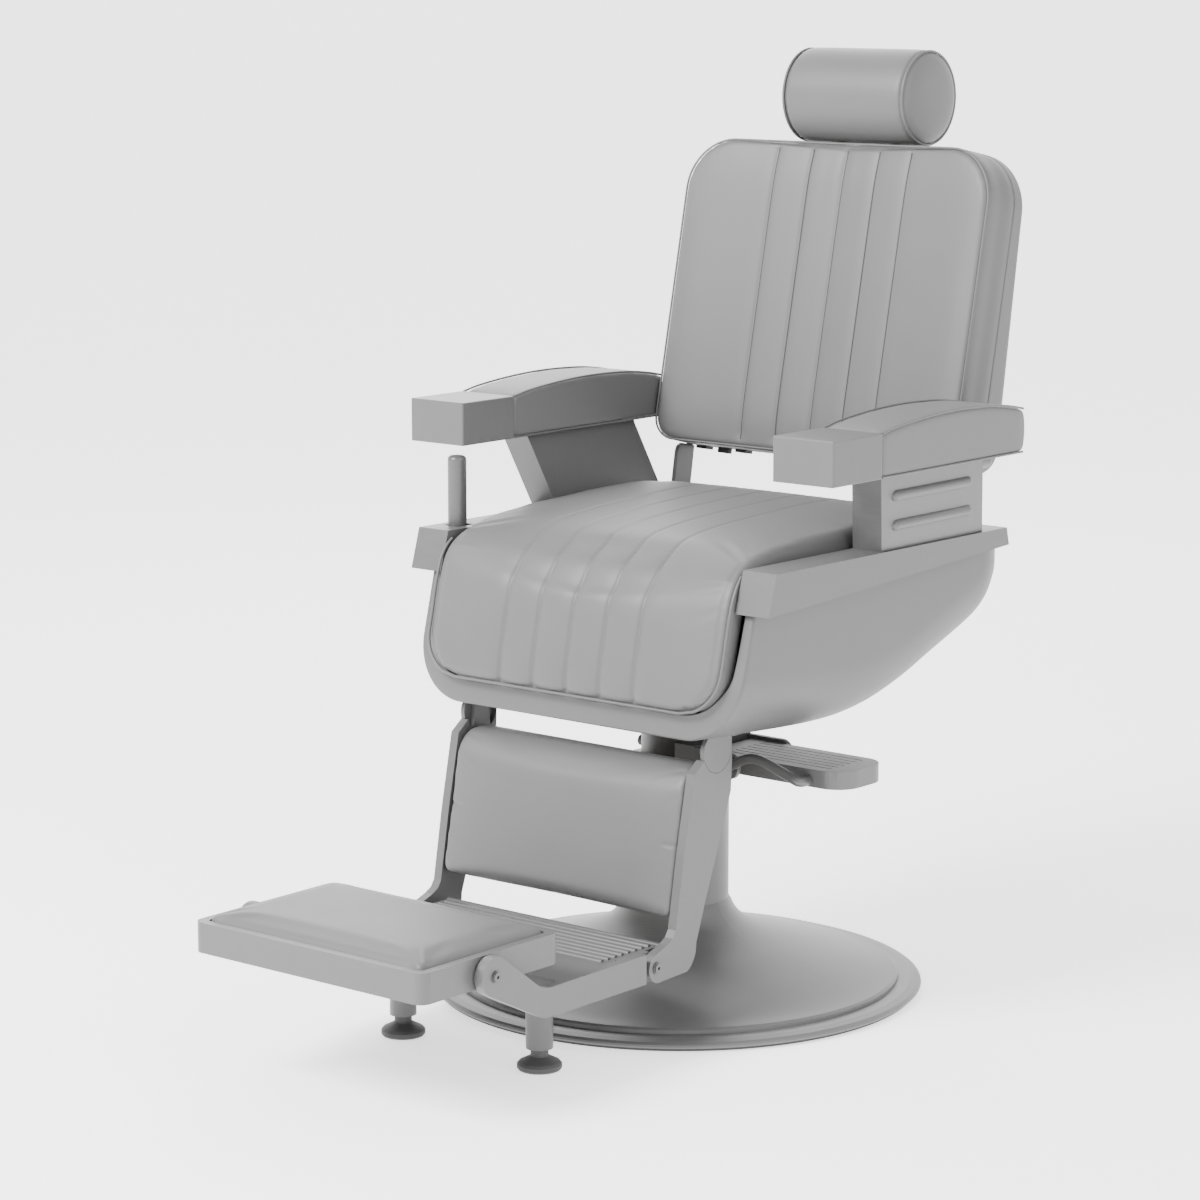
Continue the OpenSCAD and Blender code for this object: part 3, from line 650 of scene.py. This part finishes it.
# ---------- headrest roll ----------
ROLL = Vector((0, 0.0285, 0.4585))
profile = [(0.1040, 0.0), (0.1038, 0.020), (0.1030, 0.036), (0.1012, 0.048), (0.0985, 0.0555), (0.0960, 0.0592),
           (0.0925, 0.0612), (0.0870, 0.0621), (0.070, 0.0625), (0.035, 0.0626), (0.0, 0.0626)]
profile = [(x * 1.032, r * 1.036) for x, r in profile]
half = spline_through(profile, 70)
full = np.concatenate([half, (half * np.array([-1, 1]))[-2::-1]])
rings = []
for x, r in full:
    ring = [(x, ROLL.y + max(r, 0.0008) * math.cos(a), ROLL.z + max(r, 0.0008) * math.sin(a))
            for a in np.radians(np.arange(0, 360, 5))]
    rings.append(placed(ring))
roll = loft("headrest_roll_pad", rings, "upholstery")
remesh(roll, 0.004, 4)
refine(roll)


def roll_seams(points, n):
    q = local(points)
    r = np.hypot(q[:, 1] - ROLL.y, q[:, 2] - ROLL.z)
    out = 0.0016 * np.exp(-((np.abs(q[:, 0]) - 0.0955) / 0.0022) ** 2)
    back_seam = 0.0018 * np.exp(-((q[:, 2] - ROLL.z + 0.01) / 0.003) ** 2) * (q[:, 1] > ROLL.y)
    return out * (r > 0.05) + back_seam * (np.abs(q[:, 0]) < 0.09)


press(roll, roll_seams)
welts = []
for side in (-1, 1):
    ring = [(side * 0.0985, ROLL.y + 0.0625 * math.cos(a), ROLL.z + 0.0625 * math.sin(a))
            for a in np.radians(np.arange(0, 360, 5))]
    welts.append(tube("headrest_welt_%s" % ("left" if side > 0 else "right"), placed(ring), 0.0018, closed=True))
finish_piece(roll, "headrest", ("headrest_roll",), welts)


# ---------- arm pads ----------
ARM_TOP = spline_through([(-0.0300, 0.7670), (0.0045, 0.7730), (0.069, 0.7790), (0.136, 0.7814), (0.204, 0.7794),
                          (0.250, 0.7745), (0.289, 0.7674)], 60)
ARM_IN, ARM_OUT, ARM_LOW = 0.2547, 0.3463, 0.7092


def arm_pad(side):
    rings = []
    for y, top in ARM_TOP:
        end = smoothstep(y, 0.275, 0.289) * 0.0015 + smoothstep(-y, 0.0265, 0.0300) * 0.0012
        ring = [(side * x, y, z) for x, z in
                [(x + (ARM_IN + ARM_OUT) / 2, z) for x, z in
                 rounded((ARM_OUT - ARM_IN) / 2 - 0.0012 - end, ARM_LOW + end, top - 0.0010 - end, 0.0055, 0.004, 5)]]
        rings.append(ring)
    name = "left" if side > 0 else "right"
    pad = loft("arm_pad_%s_pad" % name, rings, "upholstery")
    remesh(pad, 0.004, 3)
    p = coords(pad)
    held = (p[:, 2] < 0.7125) | (p[:, 1] < -0.027) | (np.abs(normals(pad)[:, 0]) > 0.35)
    inflate(pad, held, 0.0035, 3.0)
    refine(pad, 1)
    p = coords(pad)
    bulge = smoothstep(p[:, 1], 0.272, 0.290)
    height = np.clip((p[:, 2] - 0.7095) / 0.058, 0, 1)
    p[:, 1] += bulge * 0.005 * np.sin(np.pi * height)
    set_coords(pad, p)
    smooth(pad)
    extras = []
    for tag, x, drop in (("outer", ARM_OUT - 0.0010, 0.0012), ("inner", ARM_IN + 0.0010, 0.0012)):
        upper = [(side * x, y, z - drop) for y, z in ARM_TOP if y < 0.2885]
        lower = [(side * x, y, ARM_LOW + 0.0016) for y, z in ARM_TOP if y < 0.2850]
        extras.append(tube("arm_welt_%s_%s_top" % (name, tag), upper, 0.0015))
        extras.append(tube("arm_welt_%s_%s_low" % (name, tag), lower, 0.0015))
    finish_piece(pad, "seat", ("arm_pad_%s" % name,), extras)


arm_pad(1)
arm_pad(-1)


# ---------- calf pad ----------
outline = np.concatenate([
    spline_through([(-0.2545, 0.1760), (-0.2385, 0.2580), (-0.2275, 0.3180), (-0.2215, 0.3350), (-0.2110, 0.3470),
                    (-0.1970, 0.3530), (-0.1800, 0.3538)], 46),
    spline_through([(-0.1640, 0.3515), (-0.1800, 0.2650), (-0.1955, 0.1755)], 30),
    spline_through([(-0.2010, 0.1680), (-0.2240, 0.1662), (-0.2490, 0.1680)], 10),
])
centre = outline.mean(axis=0)
rings = []
for x, inset in [(-0.1886, 0.0055), (-0.1878, 0.0030), (-0.1850, 0.0010)] + \
        [(x, 0.0) for x in np.linspace(-0.180, 0.180, 31)] + \
        [(0.1850, 0.0010), (0.1878, 0.0030), (0.1886, 0.0055)]:
    span = outline - centre
    scale = 1 - inset / np.maximum(np.linalg.norm(span, axis=1, keepdims=True), 0.02)
    ring = centre + span * scale
    rings.append([(x, y, z) for y, z in ring])
calf = loft("calf_pad_pad", rings, "upholstery")
remesh(calf, 0.005, 5)
p = coords(calf)
along = (p[:, 1] + 0.1650) - (p[:, 2] - 0.3485) * 0.1815
inflate(calf, (along > -0.012) | (np.abs(p[:, 0]) > 0.184), 0.004)
refine(calf)


def calf_creases(points, n):
    x = np.abs(points[:, 0])
    line_z = 0.2585
    return 0.0016 * np.exp(-((points[:, 2] - line_z) / 0.0018) ** 2) * smoothstep(x, 0.160, 0.176) * (n[:, 1] < 0.3)


press(calf, calf_creases)
finish_piece(calf, "legrest", ("calf_pad",))


# ---------- footrest cushion ----------
TRAY_Y = (-0.704, -0.458)
rings = []
for z, inset in ((0.1825, 0.0135), (0.1850, 0.0126), (0.1920, 0.0124), (0.1975, 0.0126), (0.2010, 0.0142),
                 (0.2040, 0.0180), (0.2060, 0.0250), (0.2070, 0.0340), (0.2074, 0.0460)):
    ring = [(x, y, z) for x, y in rounded(0.1875 - inset, TRAY_Y[0] + inset, TRAY_Y[1] - inset, 0.009, 0.009, 8)]
    rings.append(ring)
foot_pad = loft("footrest_cushion_pad", rings, "upholstery")
remesh(foot_pad, 0.004, 6)
inflate(foot_pad, coords(foot_pad)[:, 2] < 0.1965, 0.003)
refine(foot_pad)
finish_piece(foot_pad, "flip_pad", ("footrest_cushion",))


# ---------- pedal shaft ----------
rod = spline_through([(0.130, -0.069, 0.321), (0.143, -0.069, 0.3255), (0.160, -0.069, 0.3345), (0.174, -0.069, 0.3392),
                      (0.188, -0.069, 0.3392), (0.206, -0.069, 0.3345), (0.232, -0.069, 0.3260), (0.246, -0.069, 0.3212),
                      (0.2505, -0.066, 0.3195), (0.252, -0.060, 0.3190), (0.252, -0.046, 0.3190)], 60)
pedal_rod = tube("pedal_rod", rod, 0.0065, "bright_steel", sides=24)
pedal_axle = tube("pedal_axle", [(0.130, y, 0.321) for y in (-0.0760, -0.0757, 0.0622, 0.0625)], 0.0080, "bright_steel",
                  sides=32)
finish_piece(pedal_rod, "pedal", ("pedal_shaft",), (pedal_axle,))


# ---------- rounded edges of the hard parts ----------
for name, width in (("rail_left", 0.003), ("rail_right", 0.003), ("arm_cap_left", 0.0022), ("arm_cap_right", 0.0022),
                    ("arm_bracket_left", 0.0022), ("arm_bracket_right", 0.0022), ("leg_bar_left", 0.0018),
                    ("leg_bar_right", 0.0018), ("foot_arm_left", 0.0018), ("foot_arm_right", 0.0018),
                    ("footrest_tray", 0.0025), ("pedal_tread", 0.003), 
                    ("back_bracket_left", 0.0015), ("back_bracket_right", 0.0015), ("leg_hanger_left", 0.001),
                    ("leg_hanger_right", 0.001), ("pump_head", 0.002), ("tread_plate", 0.001)):
    bevel(name, width)


# ---------- stage, light and camera ----------
floor_mat = bpy.data.materials.new("backdrop")
floor_mat.use_nodes = True
shader = floor_mat.node_tree.nodes["Principled BSDF"]
shader.inputs["Base Color"].default_value = (0.95, 0.95, 0.95, 1)
shader.inputs["Roughness"].default_value = 1.0
shader.inputs["Specular IOR Level"].default_value = 0.0
shader.inputs["Emission Color"].default_value = (1, 1, 1, 1)
shader.inputs["Emission Strength"].default_value = 1.3
# floor and wall in one sweep, behind the chair as the camera sees it
sweep = [(-14.0, 0.0), (-4.0, 0.0), (2.0, 0.0), (5.0, 0.0)]
sweep += [(5.0 + 3.0 * math.sin(a), 3.0 - 3.0 * math.cos(a)) for a in np.radians(np.linspace(6, 90, 15))] + [(8.0, 14.0)]
turn = Matrix.Rotation(math.radians(39.683), 4, "Z")
verts = [turn @ Vector((x, y, z - 0.0005)) for y, z in sweep for x in (-16.0, 16.0)]
faces = [(2 * i, 2 * i + 1, 2 * i + 3, 2 * i + 2) for i in range(len(sweep) - 1)]
mesh = bpy.data.meshes.new("backdrop")
mesh.from_pydata(verts, [], faces)
mesh.materials.append(floor_mat)
floor = bpy.data.objects.new("backdrop", mesh)
bpy.context.scene.collection.objects.link(floor)
smooth(floor)

world = bpy.data.worlds.new("studio")
bpy.context.scene.world = world
world.use_nodes = True
world.node_tree.nodes["Background"].inputs["Color"].default_value = (1, 1, 1, 1)
world.node_tree.nodes["Background"].inputs["Strength"].default_value = 1.25


def area_light(name, place, target, size, power):
    data = bpy.data.lights.new(name, "AREA")
    data.shape = "SQUARE"
    data.size = size
    data.energy = power
    obj = bpy.data.objects.new(name, data)
    obj.location = place
    obj.rotation_euler = (Vector(target) - Vector(place)).to_track_quat("-Z", "Y").to_euler()
    bpy.context.scene.collection.objects.link(obj)


area_light("key", (-1.2, -3.6, 3.8), (0, 0, 0.5), 2.0, 520)
area_light("fill", (3.6, -0.6, 2.2), (0, 0, 0.5), 2.6, 60)
area_light("rim", (-2.4, 2.6, 2.6), (0, 0, 0.6), 2.0, 50)

camera_data = bpy.data.cameras.new("camera")
camera_data.sensor_width = 36
camera_data.lens = 110.52
camera_data.clip_end = 60
camera = bpy.data.objects.new("camera", camera_data)
camera.location = (2.94958, -3.7134, 1.35499)
camera.rotation_euler = (math.radians(90 - 10.047), 0, math.radians(39.683))
bpy.context.scene.collection.objects.link(camera)
bpy.context.scene.camera = camera

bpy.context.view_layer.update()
import json
